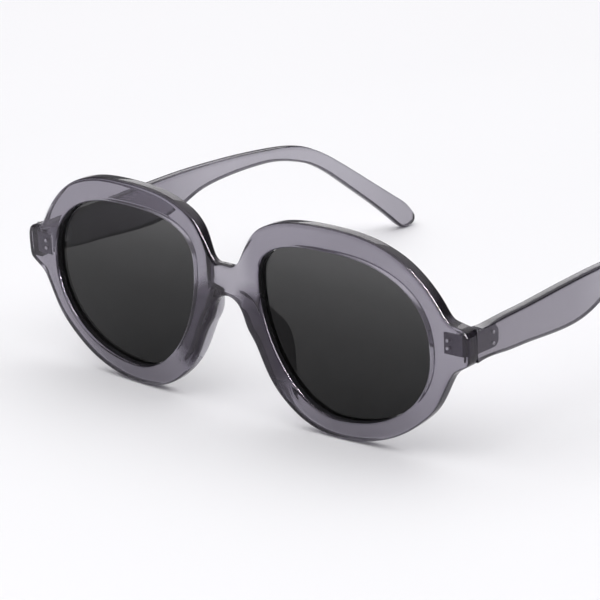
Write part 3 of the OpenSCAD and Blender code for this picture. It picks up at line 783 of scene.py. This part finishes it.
# The fifth argument is each plastic's edge colour: painted shade for faces turned sideways
plastic_front = plastic("front_plastic", FRONT_SIGMA, FRONT_TINT_AND_SHADE, "Y", (0.44, 0.41, 0.49), pads=PAD_SHADES_AND_FINISH, along_z=True)
plastic_temple = plastic("temple_plastic", TEMPLE_SIGMA, TEMPLE_TINT, "X", (0.2, 0.19, 0.225))
# Painted shade: the lens seats and end walls are clear plastic painted dark, where they only look dark
shaded_hole_wall = plastic("lens_seat_shade", FRONT_SIGMA, HOLE_SHADE, "Y", (0.1, 0.1, 0.105), clear=0.85)
shaded_end_wall = plastic("shaded_end_wall", FRONT_SIGMA, END_SHADE, "Y", (0.115, 0.1, 0.14))
lens_tint_and_shade = shaded_tinted_lens("lens_tint_and_shade")
lens_edge = dark_edge("lens_edge")
steel = metal("hinge_steel", (0.34, 0.33, 0.37), 0.32)
pin_steel = metal("pin_steel", (0.78, 0.77, 0.79), 0.2)

# ---------------------------------------------------------------- pieces
front = build_front()
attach(front, "front")
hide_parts("front_frame", "nose_pad_left", "nose_pad_right")
for side, word in ((1, "left"), (-1, "right")):
    lens = build_lens(side)
    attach(lens, "front")
    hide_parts("lens_" + word)
    temple = build_temple(side)
    temple.data.materials.append(plastic_temple)
    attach(temple, word + "_arm")
    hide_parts("temple_" + word)
# The hinges, screws and rivets are the CAD's own solids, with metal and worn edges
for name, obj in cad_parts.items():
    if "hinge" in name or "rivet" in name:
        obj.data.materials.clear()
        obj.data.materials.append(pin_steel if "rivet" in name else steel)
        worn = obj.modifiers.new("edges", "BEVEL")
        worn.width, worn.segments, worn.limit_method = 0.06 * MM, 2, "ANGLE"

# ---------------------------------------------------------------- studio
bpy.ops.mesh.primitive_plane_add(size=6, location=(0, 0, 0))
floor = bpy.context.object
floor.name = "floor"
floor.data.materials.append(floor_material())

world = bpy.data.worlds.new("studio")
scene.world = world
world.use_nodes = True
sky = world.node_tree
sky.nodes.clear()
upward = split(sky, add(sky, "ShaderNodeTexCoord").outputs["Generated"])["Z"]
# Dim up to 30 degrees over the horizon and bright from 46 degrees on, as the height of a unit vector
SKY = [(0.0, (0.26, 0.255, 0.27)), (0.5, (0.28, 0.275, 0.29)), (0.72, (1.46, 1.46, 1.46)), (1.0, (1.46, 1.46, 1.46))]
background = add(sky, "ShaderNodeBackground")
put(sky, background.inputs["Color"], ramp(sky, upward, SKY))
put(sky, background.inputs["Strength"], 1.0)
put(sky, add(sky, "ShaderNodeOutputWorld").inputs["Surface"], background.outputs["Background"])


def lamp(name, at, aim, size, power_w, size_y=None, along=None):
    """An area lamp that faces a point, with its second size along a direction."""
    data = bpy.data.lights.new(name, "AREA")
    data.energy, data.size = power_w, size
    if size_y:
        data.shape, data.size_y = "RECTANGLE", size_y
    o = bpy.data.objects.new(name, data)
    scene.collection.objects.link(o)
    o.location = at
    away = (Vector(at) - Vector(aim)).normalized()
    y = Vector(along or (0, 0, 1))
    y = (y - away * y.dot(away)).normalized()
    x = y.cross(away)
    o.rotation_euler = Matrix([[x[i], y[i], away[i]] for i in range(3)]).to_euler()
    return o


lamp("fill", (0.1, -0.5, 1.1), (0, 0, 0), 0.8, 1.6)
# Two lamps that show only in reflections: one draws the lines along the rims, one lights the top edges
key = lamp("key", (0.7, -0.265, 0.5), (0, 0, 0.02), 0.22, 26.0, 1.05, (-0.51, 0.03, 0.86))
rear = lamp("rear", (-0.6, 0.77, 0.65), (0, -0.07, 0.05), 0.45, 2.0, 0.7, (0.72, 0, 0.69))
for o in (key, rear):
    o.visible_camera = o.visible_diffuse = o.visible_transmission = False

# ---------------------------------------------------------------- camera, found from the photo
AZ, EL, ROLL = math.radians(43.0), math.radians(20.0857), math.radians(-3.7639)
CAMERA_AT = np.array([17.698, 2.966, 900.071])  # right, up and back from the front's middle, in millimetres
FOCAL_PX, PHOTO_PX, SENSOR = 3715.65, 600, 36  # the photo's focal length and width, and the sensor's width
back = np.array([math.sin(AZ) * math.cos(EL), -math.cos(AZ) * math.cos(EL), math.sin(EL)])
right = np.array([math.cos(AZ), math.sin(AZ), 0.0])
up = np.cross(back, right)
axes = np.stack([math.cos(ROLL) * right + math.sin(ROLL) * up, -math.sin(ROLL) * right + math.cos(ROLL) * up, back])
lean = np.array([[1, 0, 0], [0, math.cos(TILT), -math.sin(TILT)], [0, math.sin(TILT), math.cos(TILT)]])
eye = lean @ (axes.T @ CAMERA_AT) + np.array([0, -ROW_Y, FRONT_Z])
axes = axes @ lean.T
cam = bpy.data.cameras.new("camera")
cam.lens, cam.sensor_width, cam.clip_start, cam.clip_end = SENSOR * FOCAL_PX / PHOTO_PX, SENSOR, 0.05, 20
camera = bpy.data.objects.new("camera", cam)
scene.collection.objects.link(camera)
camera.matrix_world = Matrix([[axes[j][i] for j in range(3)] + [eye[i] * MM] for i in range(3)] + [[0, 0, 0, 1]])
scene.camera = camera
scene.view_settings.view_transform = "Standard"
